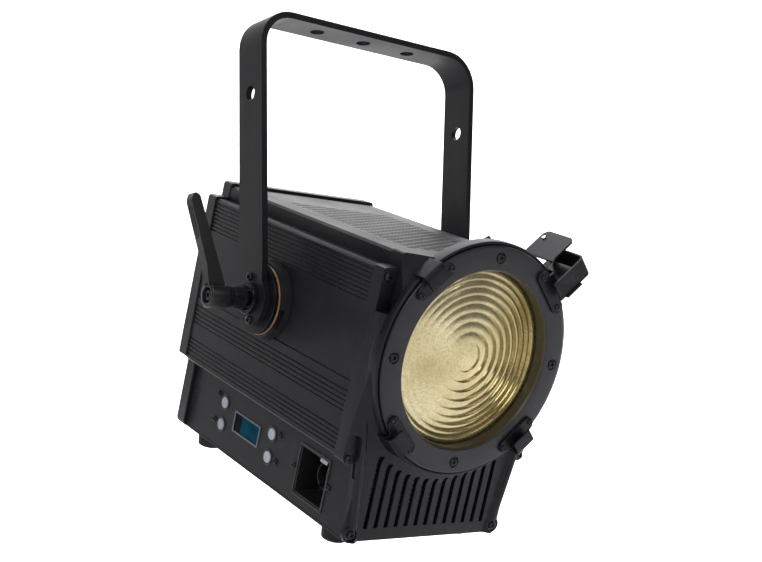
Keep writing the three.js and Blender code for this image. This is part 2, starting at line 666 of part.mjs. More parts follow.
const motor = box(-17.5, 17.5, MOTOR_FRONT, BULKHEAD_REAR[0] - GAP, SCREW_Z - 14, SCREW_Z + 17.5);
addSolid(head, 'zoom_motor', motor, STEEL_BLACK);

const CARRIAGE = [-46, -42];

function carriage() {
  const plate = box(-74, 74, ...CARRIAGE, -78, 56);
  const nut = rod('y', CARRIAGE[1] - 1, CARRIAGE[1] + 12, 7, [0, SCREW_Z], 20);
  const sleeves = [-1, 1].map((side) => (
    rod('y', CARRIAGE[1] - 1, CARRIAGE[1] + 24, 7.5, [side * ROD_X, ROD_Z], 20)));
  const along = [CARRIAGE[0] - 1, CARRIAGE[1] + 25];
  return cut(join(plate, nut, ...sleeves),
    rod('y', ...along, 3.35, [0, SCREW_Z], 16),
    rod('y', ...along, ROD_R + 0.35, [ROD_X, ROD_Z], 16),
    rod('y', ...along, ROD_R + 0.35, [-ROD_X, ROD_Z], 16),
    box(-16, 16, CARRIAGE[0] - 1, CARRIAGE[1] + 1, -16, 16));
}
addSolid(head, 'carriage', carriage(), STEEL_BLACK);

function ledModule() {
  return join(
    box(-15.5, 15.5, CARRIAGE[1] - 3.8, CARRIAGE[1] - 1.2, -15.5, 15.5),
    rod('y', CARRIAGE[1] - 5.4, CARRIAGE[1] - 3.7, 11, [0, 0], 32));
}
addSolid(head, 'led_module', ledModule(), finish(0xe8d9a0, 0.6, 0));

add(head, 'led_reflector', lathe([
  [14, CARRIAGE[0] - GAP], [16, CARRIAGE[0] - GAP], [30, CARRIAGE[0] - 22], [31.5, CARRIAGE[0] - 34],
  [30, CARRIAGE[0] - 34], [28.4, CARRIAGE[0] - 22],
], 24), BARE);

function heatsink() {
  const y0 = CARRIAGE[1] + GAP;
  const fins = [box(-52, 52, y0, y0 + 7, -52, 52)];
  for (let i = 0; i < 13; i += 1) {
    const z = -48 + i * 8;
    fins.push(box(-52, 52, y0 + 6, y0 + 38, z - 1, z + 1));
  }
  return join(...fins);
}
addSolid(head, 'led_heatsink', heatsink(), BARE);

const FAN = [CARRIAGE[1] + 39, CARRIAGE[1] + 59];

function fanFrame() {
  const [y0, y1] = FAN;
  const body = cut(box(-46, 46, y0, y1, -46, 46), rod('y', y0 - 1, y1 + 1, 43, [0, 0], 28));
  const spokes = [0, 1, 2].map((i) => box(-2, 2, y1 - 3, y1, -1, 44).rotate([0, i * 120, 0]));
  return join(body, rod('y', y1 - 3, y1, 17, [0, 0], 24), ...spokes);
}
addSolid(head, 'fan_frame', fanFrame(), PLASTIC_BLACK);

function fanRotor() {
  const [y0, y1] = [FAN[0] + 1, FAN[1] - 4];
  const blades = [];
  for (let i = 0; i < 7; i += 1) {
    const blade = box(-1, 1, -7, 7, 15, 41.5).rotate([0, 0, 35]).translate([0, (y0 + y1) / 2, 0]);
    blades.push(blade.rotate([0, i * 360 / 7, 0]));
  }
  return join(rod('y', y0, y1, 17, [0, 0], 24), ...blades);
}
addSolid(head, 'fan_rotor', fanRotor(), PLASTIC_BLACK);

addSolid(head, 'psu_module', box(-38, 52, -100, 60, BOTTOM_Z + 6, BOTTOM_Z + 46), BARE);
addSolid(head, 'control_board', box(-72, -70.4, -30, 66, -144, -92), BOARD);

export default group;
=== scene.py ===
"""Looks of a theatre fresnel spotlight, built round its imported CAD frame.

Shapes are drawn in millimetres in the head's or the yoke's own frame and placed in metres:
X runs along the tilt axis, the head's -Y is the way the light goes, and Z is up.
"""
import json
import math

import bmesh
import bpy
from mathutils import Matrix, Vector


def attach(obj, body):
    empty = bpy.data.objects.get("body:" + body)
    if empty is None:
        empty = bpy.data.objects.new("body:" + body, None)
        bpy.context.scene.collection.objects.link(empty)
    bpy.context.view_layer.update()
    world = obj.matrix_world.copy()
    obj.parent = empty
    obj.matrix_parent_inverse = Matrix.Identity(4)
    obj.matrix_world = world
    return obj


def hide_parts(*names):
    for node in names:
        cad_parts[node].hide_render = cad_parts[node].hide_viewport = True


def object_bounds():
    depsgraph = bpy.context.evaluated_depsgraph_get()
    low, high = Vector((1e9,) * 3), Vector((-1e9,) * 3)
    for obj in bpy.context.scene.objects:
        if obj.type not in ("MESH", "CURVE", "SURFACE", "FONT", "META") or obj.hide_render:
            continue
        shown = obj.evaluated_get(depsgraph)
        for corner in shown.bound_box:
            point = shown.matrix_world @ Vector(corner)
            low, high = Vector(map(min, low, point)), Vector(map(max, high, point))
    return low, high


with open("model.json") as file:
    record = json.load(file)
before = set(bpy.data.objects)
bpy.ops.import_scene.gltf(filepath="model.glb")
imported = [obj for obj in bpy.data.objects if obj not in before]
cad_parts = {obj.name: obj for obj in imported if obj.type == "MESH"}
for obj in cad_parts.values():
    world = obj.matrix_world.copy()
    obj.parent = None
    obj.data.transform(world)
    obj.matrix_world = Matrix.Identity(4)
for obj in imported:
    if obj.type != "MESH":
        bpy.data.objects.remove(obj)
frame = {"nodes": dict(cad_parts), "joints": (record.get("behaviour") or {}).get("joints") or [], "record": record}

CAD_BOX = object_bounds()
JOINTS = {joint["name"]: joint for joint in frame["joints"]}

# ---------- frames and driving sizes, in millimetres ----------
MM = 0.001
PIVOT = Vector(JOINTS["head_tilt"]["pos_m"])
LIGHT_AXIS = Vector(JOINTS["zoom_slide"]["axis"])
TILT = math.atan2(LIGHT_AXIS.z, LIGHT_AXIS.y)
YOKE = Matrix.Translation(PIVOT) @ Matrix.Scale(MM, 4)
HEAD = Matrix.Translation(PIVOT) @ Matrix.Rotation(TILT, 4, "X") @ Matrix.Scale(MM, 4)

SHOULDER_HALF = 80
BASE_HALF = 79
TOP_Z = 74.5
SHOULDER_Z = 62
LIP_Z = -87
BOTTOM_Z = -151
BODY_FRONT = -139
SKIN_FRONT = -128
BODY_REAR = 116
SKIN = 2.5
TRAY_THICK = 2.2

RING_R = 91.2
RING_BORE_R = 71
RING_FRONT = -159
RING_BACK = -154.3
COLLAR_R = 94.2
COLLAR_BACK = -146
LENS_R = 78
LENS_FRONT = -148.3
LENS_THICK = 8
ACCESSORY_FRONT = -167.5
SCREW_CIRCLE_R = 84           # the clips' screws
RING_SCREW_R = 82
CLIP_OUTER = 97
CLIP_SHEET = 1.8
GAP = 0.3

YOKE_HALF = 112
INLET_Y, INLET_Z, INLET_SIZE = -87.5, -120.5, 41
INLET_DEPTH, POCKET_WALL = 26, 1.6
AIR_SLOTS, AIR_PITCH, AIR_ARC_R = 13, 10, 101.5
DISPLAY_Y, DISPLAY_Z, DISPLAY_W, DISPLAY_H = 16.3, -118.3, 40.5, 16.5
BUTTONS = {"rear_upper": (57, -108.6), "rear_lower": (57, -128.6),
           "front_upper": (-23, -108.5), "front_lower": (-23, -128.6)}
PANEL_SCREWS = [(69.3, -104), (69.2, -127.8), (-34.7, -105), (-35.4, -127.8),
                (-61.6, -120.5), (-111.3, -120)]
LUG_X, LUG_Z = 73.5, -145.2
SEAT_Y, LUG_SEAT_Y = -140.4, -143.2
CASTING_SCREWS = {"upper": (88.6, SEAT_Y, 56), "middle": (88.7, SEAT_Y, -85),
                  "lower": (LUG_X, LUG_SEAT_Y, LUG_Z)}
FOOT_PLACES = {"front_left": (-62.5, -111), "front_right": (62.5, -111),
               "rear_left": (-62.5, 96), "rear_right": (62.5, 96)}

# Directions that pieces are drawn along: local X, Y and Z become these.
FACES_FRONT = Matrix(((1, 0, 0, 0), (0, 0, -1, 0), (0, 1, 0, 0), (0, 0, 0, 1)))
FACES_LEFT = Matrix(((0, 0, -1, 0), (-1, 0, 0, 0), (0, 1, 0, 0), (0, 0, 0, 1)))
FACES_RIGHT = Matrix(((0, 0, 1, 0), (1, 0, 0, 0), (0, 1, 0, 0), (0, 0, 0, 1)))
FACES_REAR = Matrix(((-1, 0, 0, 0), (0, 0, 1, 0), (0, 1, 0, 0), (0, 0, 0, 1)))
FACES_DOWN = Matrix(((1, 0, 0, 0), (0, -1, 0, 0), (0, 0, -1, 0), (0, 0, 0, 1)))


def at(x, y, z):
    return Matrix.Translation((x, y, z))


def round_the_light(degrees):
    """Local X runs along the ring and local Z away from the light's axis."""
    return Matrix.Rotation(math.radians(90 - degrees), 4, "Y")


# ---------- materials ----------
class Nodes:
    """A short way to lay out a material's nodes."""

    def __init__(self, name):
        self.material = bpy.data.materials.new(name)
        self.material.use_nodes = True
        self.tree = self.material.node_tree
        self.shader = self.tree.nodes["Principled BSDF"]
        self.coordinates = self.tree.nodes.new("ShaderNodeTexCoord").outputs["Object"]

    def add(self, kind, inputs=(), **settings):
        node = self.tree.nodes.new(kind)
        for key, value in settings.items():
            setattr(node, key, value)
        for key, value in dict(inputs).items():
            if isinstance(value, bpy.types.NodeSocket):
                self.tree.links.new(value, node.inputs[key])
            else:
                node.inputs[key].default_value = value
        return node

    def link(self, socket, name):
        self.tree.links.new(socket, self.shader.inputs[name])

    def noise(self, scale, detail=3.0, vector=None):
        inputs = {"Vector": vector or self.coordinates, "Scale": scale, "Detail": detail}
        return self.add("ShaderNodeTexNoise", inputs).outputs["Fac"]

    def cells(self, scale):
        inputs = {"Vector": self.coordinates, "Scale": scale}
        return self.add("ShaderNodeTexVoronoi", inputs).outputs["Distance"]

    def stretch(self, socket, low, high, to_low=0.0, to_high=1.0):
        return self.add("ShaderNodeMapRange", {
            "Value": socket, "From Min": low, "From Max": high, "To Min": to_low, "To Max": to_high,
        }).outputs["Result"]

    def mix(self, factor, a, b):
        node = self.add("ShaderNodeMix", {0: factor, 6: (*a, 1) if isinstance(a, tuple) else a,
                                          7: (*b, 1) if isinstance(b, tuple) else b}, data_type="RGBA")
        return node.outputs[2]

    def times(self, a, b):
        return self.add("ShaderNodeMath", {0: a, 1: b}, operation="MULTIPLY").outputs[0]

    def plus(self, a, b):
        return self.add("ShaderNodeMath", {0: a, 1: b}, operation="ADD").outputs[0]

    def bump(self, height, depth_mm, strength=1.0, under=None):
        inputs = {"Height": height, "Distance": depth_mm * MM, "Strength": strength}
        if under is not None:
            inputs["Normal"] = under
        return self.add("ShaderNodeBump", inputs).outputs["Normal"]

    # A mask of convex edges broken up by noise. It lightens them for rubbed paint and also for painted edge
    # glints.
    def worn_and_glinting_edges(self, start=0.53, end=0.60):
        edge = self.add("ShaderNodeNewGeometry").outputs["Pointiness"]
        return self.times(self.stretch(edge, start, end), self.stretch(self.noise(90), 0.42, 0.62))


def coated(name, color, roughness, grain_mm, grain_depth, metallic=0.0, specular=0.5, wear_and_glint=0.35, coat=0.0):
    """Painted or powder-coated metal: fine grain, slight patches in gloss and colour, and lighter convex edges
    that stand for rubbed paint and, where the setting is high, for painted edge glints.
    """
    n = Nodes(name)
    grain = n.noise(1 / (grain_mm * MM), 2.0)
    patches = n.noise(22, 4.0)
    dark = tuple(c * 0.8 for c in color)
    light = tuple(min(1.0, c * 1.25 + 0.001) for c in color)
    body = n.mix(n.stretch(patches, 0.3, 0.7), dark, light)
    body = n.mix(n.times(n.stretch(grain, 0.55, 0.8), 0.35), body, light)
    # Convex edges are lightened: rubbed paint, plus painted highlights where the edge setting is high.
    rubbed_and_glint = tuple(min(1.0, c * 2.6 + 0.015) for c in color)
    n.link(n.mix(n.times(n.worn_and_glinting_edges(), wear_and_glint), body, rubbed_and_glint), "Base Color")
    gloss = n.plus(n.stretch(patches, 0.3, 0.7, -0.05, 0.05), n.stretch(grain, 0.3, 0.7, -0.05, 0.05))
    n.link(n.plus(gloss, roughness), "Roughness")
    n.link(n.bump(grain, grain_depth), "Normal")
    n.shader.inputs["Metallic"].default_value = metallic
    n.shader.inputs["Specular IOR Level"].default_value = specular
    n.shader.inputs["Specular Tint"].default_value = (0.90, 0.89, 1.0, 1)
    n.shader.inputs["Coat Weight"].default_value = coat
    n.shader.inputs["Coat Roughness"].default_value = 0.25
    return n.material


def machined(name, color, roughness, scale=(900, 900, 60)):
    """Bare metal with fine directional lines and faint smudges."""
    n = Nodes(name)
    lines = n.add("ShaderNodeMapping", {"Vector": n.coordinates, "Scale": scale}).outputs["Vector"]
    scratch = n.noise(1.0, 4.0, lines)
    smudge = n.noise(45, 3.0)
    n.link(n.mix(n.stretch(smudge, 0.35, 0.7), tuple(c * 0.86 for c in color), color), "Base Color")
    n.link(n.plus(n.stretch(scratch, 0.3, 0.7, -0.06, 0.08), roughness), "Roughness")
    n.link(n.bump(scratch, 0.02), "Normal")
    n.shader.inputs["Metallic"].default_value = 1.0
    return n.material


def moulded(name, color, roughness, grain_mm=0.45, depth=0.03, specular=0.5):
    """Moulded plastic or rubber: spark-eroded grain and a slightly mottled surface."""
    n = Nodes(name)
    cells = n.cells(1 / (grain_mm * MM))
    mottle = n.noise(60, 4.0)
    body = n.mix(n.stretch(mottle, 0.3, 0.7), tuple(c * 0.8 for c in color), tuple(c * 1.2 for c in color))
    n.link(n.mix(n.times(n.worn_and_glinting_edges(), 0.25), body, tuple(c * 2 + 0.008 for c in color)), "Base Color")
    n.link(n.plus(n.stretch(mottle, 0.3, 0.7, -0.06, 0.06), roughness), "Roughness")
    n.link(n.bump(cells, depth), "Normal")
    n.shader.inputs["Specular IOR Level"].default_value = specular
    return n.material


def lens_material():
    """Stands for lit glass, but is opaque: pitted gold of uneven warmth under a clear coat."""
    n = Nodes("stippled_lens")
    stipple = n.cells(620.0)
    ripple = n.noise(150, 5.0)
    warmth = n.noise(14, 3.0)
    gold = n.mix(n.stretch(warmth, 0.35, 0.65), (0.46, 0.37, 0.155), (0.80, 0.70, 0.42))
    pits = n.times(n.stretch(stipple, 0.35, 0.75), 0.3)
    n.link(n.mix(pits, gold, (0.20, 0.15, 0.055)), "Base Color")
    n.link(n.plus(n.stretch(ripple, 0.3, 0.7, -0.04, 0.06), 0.16), "Roughness")
    fine = n.bump(stipple, 0.02)
    n.link(n.bump(ripple, 0.015, 1.0, fine), "Normal")
    n.shader.inputs["Metallic"].default_value = 0.8
    n.shader.inputs["Coat Weight"].default_value = 1.0
    n.shader.inputs["Coat Roughness"].default_value = 0.05
    return n.material


def display_material():
    """A dark window with a lit blue field: a faint cell grid, darker at its rear end."""
    n = Nodes("display_glow")
    parts = n.add("ShaderNodeSeparateXYZ", {0: n.coordinates})
    along = n.plus(n.times(parts.outputs["Y"], LIGHT_AXIS.y), n.times(parts.outputs["Z"], LIGHT_AXIS.z))
    edge = HEAD @ Vector((0, DISPLAY_Y + DISPLAY_W * 0.24, 0))
    split = edge.y * LIGHT_AXIS.y + edge.z * LIGHT_AXIS.z
    dark_end = n.stretch(along, split - 0.0006, split + 0.0006)
    grid = n.add("ShaderNodeTexChecker", {"Vector": n.coordinates, "Scale": 1400.0}).outputs["Fac"]
    cloud = n.noise(70, 3.0)
    blue = n.mix(n.stretch(cloud, 0.3, 0.7), (0.0002, 0.020, 0.036), (0.0004, 0.036, 0.058))
    blue = n.mix(n.times(grid, 0.12), blue, (0.0, 0.02, 0.06))
    n.link(n.mix(dark_end, blue, (0.006, 0.007, 0.012)), "Base Color")
    n.link(n.stretch(cloud, 0.3, 0.7, 0.10, 0.20), "Roughness")
    n.link(n.mix(dark_end, blue, (0.0, 0.0, 0.0)), "Emission Color")
    n.shader.inputs["Emission Strength"].default_value = 0.25
    n.shader.inputs["Specular IOR Level"].default_value = 0.06
    return n.material


POWDER = coated("powder_coat_black", (0.0050, 0.0050, 0.0060), 0.52, 0.9, 0.04, specular=0.25, wear_and_glint=0.2)
CAST = coated("cast_black", (0.0056, 0.0056, 0.0067), 0.48, 1.2, 0.035, specular=0.28, wear_and_glint=0.2)
RING = coated("ring_satin_black", (0.0092, 0.0092, 0.0110), 0.38, 0.8, 0.02, specular=0.42, wear_and_glint=0.2)
SHEET = coated("sheet_black", (0.0042, 0.0042, 0.0050), 0.34, 0.7, 0.015, specular=0.22, wear_and_glint=0.4)
# The high edge setting paints bright glints on the screws' rims and washers: painted highlights on top of rubbed
# oxide.
OXIDE = coated("black_oxide", (0.022, 0.022, 0.025), 0.28, 0.6, 0.02, metallic=0.7, specular=0.5, wear_and_glint=0.8)
# The warm khaki on the ring's bore is a painted reflection of the gold lens on the inner wall.
BORE_LENS_REFLECTION = coated("ring_bore_painted_lens_reflection", (0.040, 0.032, 0.014), 0.36, 0.7, 0.02, specular=0.4)
INSIDE = coated("inside_black", (0.006, 0.006, 0.0065), 0.7, 1.0, 0.03)
STEEL = machined("bright_steel_plain", (0.60, 0.60, 0.61), 0.24)
ALUMINIUM = machined("bare_aluminium_plain", (0.70, 0.71, 0.72), 0.34)
PLASTIC = moulded("black_nylon", (0.0075, 0.0075, 0.0085), 0.42, specular=0.4)
LEVER = moulded("lever_nylon", (0.0075, 0.0075, 0.0085), 0.36, 0.6, 0.02, 0.4)
RUBBER = moulded("matt_rubber", (0.009, 0.009, 0.0095), 0.72, 0.6, 0.05, 0.25)
FIBRE = moulded("copper_fibre_plain", (0.26, 0.155, 0.095), 0.6, 0.5, 0.05, 0.3)
SILVER = coated("silver_cap", (0.30, 0.32, 0.36), 0.38, 0.5, 0.012, wear_and_glint=0.2)
BEZEL = coated("silver_bezel", (0.085, 0.095, 0.115), 0.4, 0.5, 0.012)
PCB = coated("green_solder_mask", (0.02, 0.11, 0.04), 0.4, 1.5, 0.02)
PHOSPHOR = moulded("yellow_phosphor", (0.80, 0.62, 0.16), 0.5, 0.5, 0.04)
LENS = lens_material()
DISPLAY = display_material()


# ---------- mesh tools ----------
def rounded(points, steps=6):
    """The polygon with its corners rounded: each point is (a, b) or (a, b, radius)."""
    out = []
    for i, point in enumerate(points):
        here = Vector(point[:2])
        if len(point) < 3:
            out.append(tuple(here))
            continue
        before = (Vector(points[i - 1][:2]) - here).normalized()
        after = (Vector(points[(i + 1) % len(points)][:2]) - here).normalized()
        half = math.acos(max(-1.0, min(1.0, before.dot(after)))) / 2
        reach = point[2] / math.tan(half)
        centre = here + (before + after).normalized() * (point[2] / math.sin(half))
        start = here + before * reach - centre
        end = here + after * reach - centre
        turn = math.atan2(start.x * end.y - start.y * end.x, start.dot(end))
        for k in range(steps + 1):
            angle = turn * k / steps
            c, s = math.cos(angle), math.sin(angle)
            out.append((centre.x + c * start.x - s * start.y, centre.y + s * start.x + c * start.y))
    return out


def rounded_box(half_a, half_b, radius, steps):
    return rounded([(-half_a, -half_b, radius), (half_a, -half_b, radius),
                    (half_a, half_b, radius), (-half_a, half_b, radius)], steps)


def mirrored(points):
    return [(-p[0], *p[1:]) for p in reversed(points)]


def thicken(bm, height):
    """Draws every face out along Z into a solid."""
    top = bmesh.ops.extrude_face_region(bm, geom=bm.faces[:])["geom"]
    moved = [g for g in top if isinstance(g, bmesh.types.BMVert)]
    bmesh.ops.translate(bm, vec=(0, 0, height), verts=moved)
    bmesh.ops.recalc_face_normals(bm, faces=bm.faces[:])


def join_flat_faces(bm):
    bmesh.ops.dissolve_limit(bm, angle_limit=math.radians(0.4), verts=bm.verts[:], edges=bm.edges[:])


def prism(outline, low, high, turn=FACES_FRONT, holes=()):
    """An outline drawn out along local Z from low to high, then turned."""
    bm = bmesh.new()
    for loop in (outline, *holes):
        verts = [bm.verts.new((a, b, low)) for a, b in loop]
        for i, vert in enumerate(verts):
            bm.edges.new((vert, verts[(i + 1) % len(verts)]))
    if holes:
        bmesh.ops.triangle_fill(bm, use_beauty=True, edges=bm.edges[:])
    else:
        bm.faces.new(bm.verts[:])
    thicken(bm, high - low)
    bm.transform(turn)
    return bm


def block(x0, x1, y0, y1, z0, z1):
    return prism([(x0, y0), (x1, y0), (x1, y1), (x0, y1)], z0, z1, Matrix.Identity(4))


def turned(profile, segments=96, axis=FACES_FRONT, closed=True):
    """A profile of (radius, height) points turned about local Z, closed or ending on the axis."""
    bm = bmesh.new()
    rings = []
    for radius, height in profile:
        if radius < 1e-6:
            rings.append([bm.verts.new((0, 0, height))])
            continue
        rings.append([bm.verts.new((radius * math.cos(2 * math.pi * i / segments),
                                    radius * math.sin(2 * math.pi * i / segments), height))
                      for i in range(segments)])
    pairs = list(zip(rings, rings[1:]))
    if closed:
        pairs.append((rings[-1], rings[0]))
    for a, b in pairs:
        if len(a) == 1 and len(b) == 1:
            continue
        for i in range(segments):
            j = (i + 1) % segments
            corners = [a[i % len(a)], a[j % len(a)], b[j % len(b)], b[i % len(b)]]
            bm.faces.new(list(dict.fromkeys(corners)))
    bmesh.ops.recalc_face_normals(bm, faces=bm.faces[:])
    bm.transform(axis)
    return bm


def rod(radius, low, high, axis=FACES_FRONT, chamfer=0.0, segments=64):
    if chamfer:
        inner = radius - chamfer
        profile = [(0, low), (inner, low), (radius, low + chamfer),
                   (radius, high - chamfer), (inner, high), (0, high)]
    else:
        profile = [(0, low), (radius, low), (radius, high), (0, high)]
    return turned(profile, segments, axis, closed=False)


def mesh_of(name, body):
    mesh = bpy.data.meshes.new(name)
    body.to_mesh(mesh)
    body.free()
    return mesh


def add_object(name, data):
    obj = bpy.data.objects.new(name, data)
    bpy.context.scene.collection.objects.link(obj)
    return obj


def gather(*bodies):
    """One mesh that holds several bodies that don't touch."""
    whole = bmesh.new()
    for body in bodies:
        mesh = mesh_of("gather", body)
        whole.from_mesh(mesh)
        bpy.data.meshes.remove(mesh)
    return whole


def placed(body, matrix):
    body.transform(matrix)
    return body


def temporary(body):
    return add_object("tool", mesh_of("tool", body))


def combined(a, b, operation):
    """Two solids joined or cut, as a new solid. a or b may hold several bodies."""
    first, second = temporary(a), temporary(b)
    change = first.modifiers.new("change", "BOOLEAN")
    change.operation = operation
    change.solver = "EXACT"
    change.use_self = operation == "UNION"
    change.object = second
    changed = first.evaluated_get(bpy.context.evaluated_depsgraph_get())
    result = bpy.data.meshes.new_from_object(changed)
    out = bmesh.new()
    out.from_mesh(result)
    for mesh in (first.data, second.data, result):
        bpy.data.meshes.remove(mesh)
    bmesh.ops.remove_doubles(out, verts=out.verts[:], dist=1e-4)
    bmesh.ops.dissolve_degenerate(out, dist=1e-4, edges=out.edges[:])
    return out


def join(*bodies):
    whole = bodies[0]
    for body in bodies[1:]:
        whole = combined(whole, body, "UNION")
    return whole


def cut(body, *tools):
    return combined(body, gather(*tools), "DIFFERENCE")


def common(a, b):
    return combined(a, b, "INTERSECT")


def piece(name, body, place, material, rides, slot, replaces=(), bevel=0.0,
          segments=2, angle=32.0, smooth=32.0, harden=True):
    """Makes a finished object: placed in metres, its sharp edges rounded, riding on its body."""
    mesh = mesh_of(name, body)
    mesh.transform(place)
    for face in mesh.polygons:
        face.use_smooth = harden
    obj = add_object(name, mesh)
    for entry in material if isinstance(material, (list, tuple)) else [material]:
        mesh.materials.append(entry)
    if bevel:
        edge = obj.modifiers.new("edges", "BEVEL")
        edge.width = bevel * MM
        edge.segments = segments
        edge.limit_method = "ANGLE"
        edge.angle_limit = math.radians(angle)
        edge.harden_normals = harden
        edge.miter_outer = "MITER_ARC"
    else:
        mesh.set_sharp_from_angle(angle=math.radians(smooth))
    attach(obj, rides)
    if replaces:
        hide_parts(*replaces)
    return obj


BODY_OF = {node: body for body, nodes in frame["record"]["behaviour"]["bodies"].items() for node in nodes}
SLOT_OF = {part["node"]: part["material_slot"] for part in frame["record"]["subparts"]}


def stands_for(node, body, material, bevel=0.0, place=HEAD, **more):
    """A detailed piece in the place of a CAD node."""
    name, rides, slot = node + "_detail", BODY_OF[node], SLOT_OF[node]
    return piece(name, body, place, material, rides, slot, (node,), bevel, **more)


def from_cad(node):
    """A CAD node's shape in metres, with its flat facets joined up."""
    source = frame["nodes"][node].data
    mesh = bpy.data.meshes.new("copy")
    mesh.from_pydata([v.co for v in source.vertices], [], [p.vertices[:] for p in source.polygons])
    bm = bmesh.new()
    bm.from_mesh(mesh)
    bpy.data.meshes.remove(mesh)
    bmesh.ops.remove_doubles(bm, verts=bm.verts[:], dist=2e-6)
    join_flat_faces(bm)
    bmesh.ops.recalc_face_normals(bm, faces=bm.faces[:])
    return bm


def refine(node, material, bevel, **more):
    return stands_for(node, from_cad(node), material, bevel, place=Matrix.Identity(4), **more)


def finish_cad(node, material):
    """Gives a CAD node that stays its material."""
    slots = frame["nodes"][node].material_slots
    if not slots:
        frame["nodes"][node].data.materials.append(material)
    for slot in slots:
        slot.material = material


# ---------- screws ----------
def screw_body(radius, height, washer=0.0):
    """A pan-head screw with a cross recess, its underside at z = 0."""
    dome = [(0, -1.2), (radius * 0.55, -1.2), (radius * 0.55, 0), (radius, 0), (radius, height * 0.35)]
    for i in range(1, 6):
        a = math.radians(90 * i / 5)
        dome.append((radius * (0.62 + 0.38 * math.cos(a)), height * (0.35 + 0.65 * math.sin(a))))
    dome.append((0, height))
    head = turned(dome, 36, Matrix.Identity(4), closed=False)
    width, reach = radius * 0.17, radius * 0.60
    arms = [placed(block(-reach, reach, -width, width, height * 0.30, height + 1),
                   Matrix.Rotation(math.radians(a), 4, "Z")) for a in (20, 110)]
    body = cut(head, join(*arms))
    if washer:
        flat = [(radius * 0.6, -0.6), (washer, -0.6), (washer, 0.1), (radius * 0.6, 0.1)]
        body = gather(body, turned(flat, 36, Matrix.Identity(4)))
    return body


def screw_mesh(name, radius, height, washer=0.0):
    mesh = mesh_of(name, screw_body(radius, height, washer))
    for face in mesh.polygons:
        face.use_smooth = True
    mesh.set_sharp_from_angle(angle=math.radians(30))
    return mesh


SCREWS = {"M3": screw_mesh("screw_m3", 2.5, 1.5), "M4": screw_mesh("screw_m4", 3.5, 2.2),
          "M4_washer": screw_mesh("screw_m4_washer", 3.4, 2.4, 4.8)}


def screw(name, kind, where, rides="head", place=HEAD, material=OXIDE):
    """A screw with its own mesh, its head facing along the local Z of where."""
    mesh = SCREWS[kind].copy()
    mesh.name = name
    mesh.transform(place @ where)
    mesh.materials.append(material)
    obj = add_object(name, mesh)
    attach(obj, rides)


# ---------- yoke, pivots and levers ----------
def make_yoke():
    refine("yoke_bracket", POWDER, 0.7, segments=3)
    for side in ("left", "right"):
        refine(f"friction_disc_{side}", SHEET, 0.5)
        refine(f"pivot_cup_{side}", OXIDE, 0.5)
        refine(f"clamp_stud_{side}", OXIDE, 0.4)
        refine(f"fibre_washer_{side}", FIBRE, 0.15)
        refine(f"pivot_boss_{side}", CAST, 0.8)
        finish_cad(f"lever_screw_{side}", OXIDE)
    for sign, turn, label in ((-1, FACES_LEFT, "left"), (1, FACES_RIGHT, "right")):
        for row, z in (("upper", 17.6), ("lower", -17.6)):
            screw(f"disc_screw_{label}_{row}", "M4", at(sign * YOKE_HALF, 0, z) @ turn, "yoke", YOKE)


LEVER_TURN = {"left": 0, "right": -13}      # degrees about the tilt axis
HUB = (130.3, 152.0)                        # inner and outer end, from the middle of the yoke


def lever_body():
    """Hub along local X and a flat tapered arm that leans outwards, seen from the right-hand side."""
    outline = [(138, -1), (151.5, -1), (155, 24), (170.5, 74, 9),
               (168.2, 81, 2.2), (162.8, 79, 4), (138, 9)]
    arm = prism(rounded(outline), -4.6, 4.6)
    along_arm = at(165.2, 0, 57) @ Matrix.Rotation(math.radians(17.2), 4, "Y")
    grooves = [placed(block(-0.5, 0.9, y - 0.55, y + 0.55, -13, 13), along_arm) for y in (-2.3, 0, 2.3)]
    low, high = HUB
    profile = rounded([(2.6, low), (8.6, low, 0.6), (9.1, low + 5, 0.5), (10.1, low + 6, 0.5),
                       (10.1, high, 1.6), (6.6, high, 0.5), (6.6, high - 8.5), (2.6, high - 8.5)], 3)
    hub = turned(profile, 72, FACES_RIGHT)
    body = join(hub, cut(arm, rod(9.2, 128, 153, FACES_RIGHT), *grooves))
    return cut(body, rod(5.4, 128, low + 11.2, FACES_RIGHT))


def make_levers():
    for side, sign in (("left", -1), ("right", 1)):
        turn = Matrix.Rotation(math.radians(LEVER_TURN[side]), 4, "X")
        mirror = Matrix.Scale(sign, 4, (1, 0, 0))
        body = lever_body()
        if sign < 0:  # mirroring turns the faces inside out
            bmesh.ops.reverse_faces(body, faces=body.faces[:])
        stands_for(f"lever_handle_{side}", body, LEVER, 0.7, place=YOKE @ turn @ mirror, segments=3)


# ---------- casing ----------
def make_casing():
    for side in ("left", "right"):
        refine(f"side_skin_{side}", POWDER, 0.22)
    refine("control_panel", POWDER, 0.3)
    refine("connector_panel", POWDER, 0.4)
    refine("rear_frame", CAST, 0.9, segments=3)
    refine("safety_eye", SHEET, 0.8, segments=3)


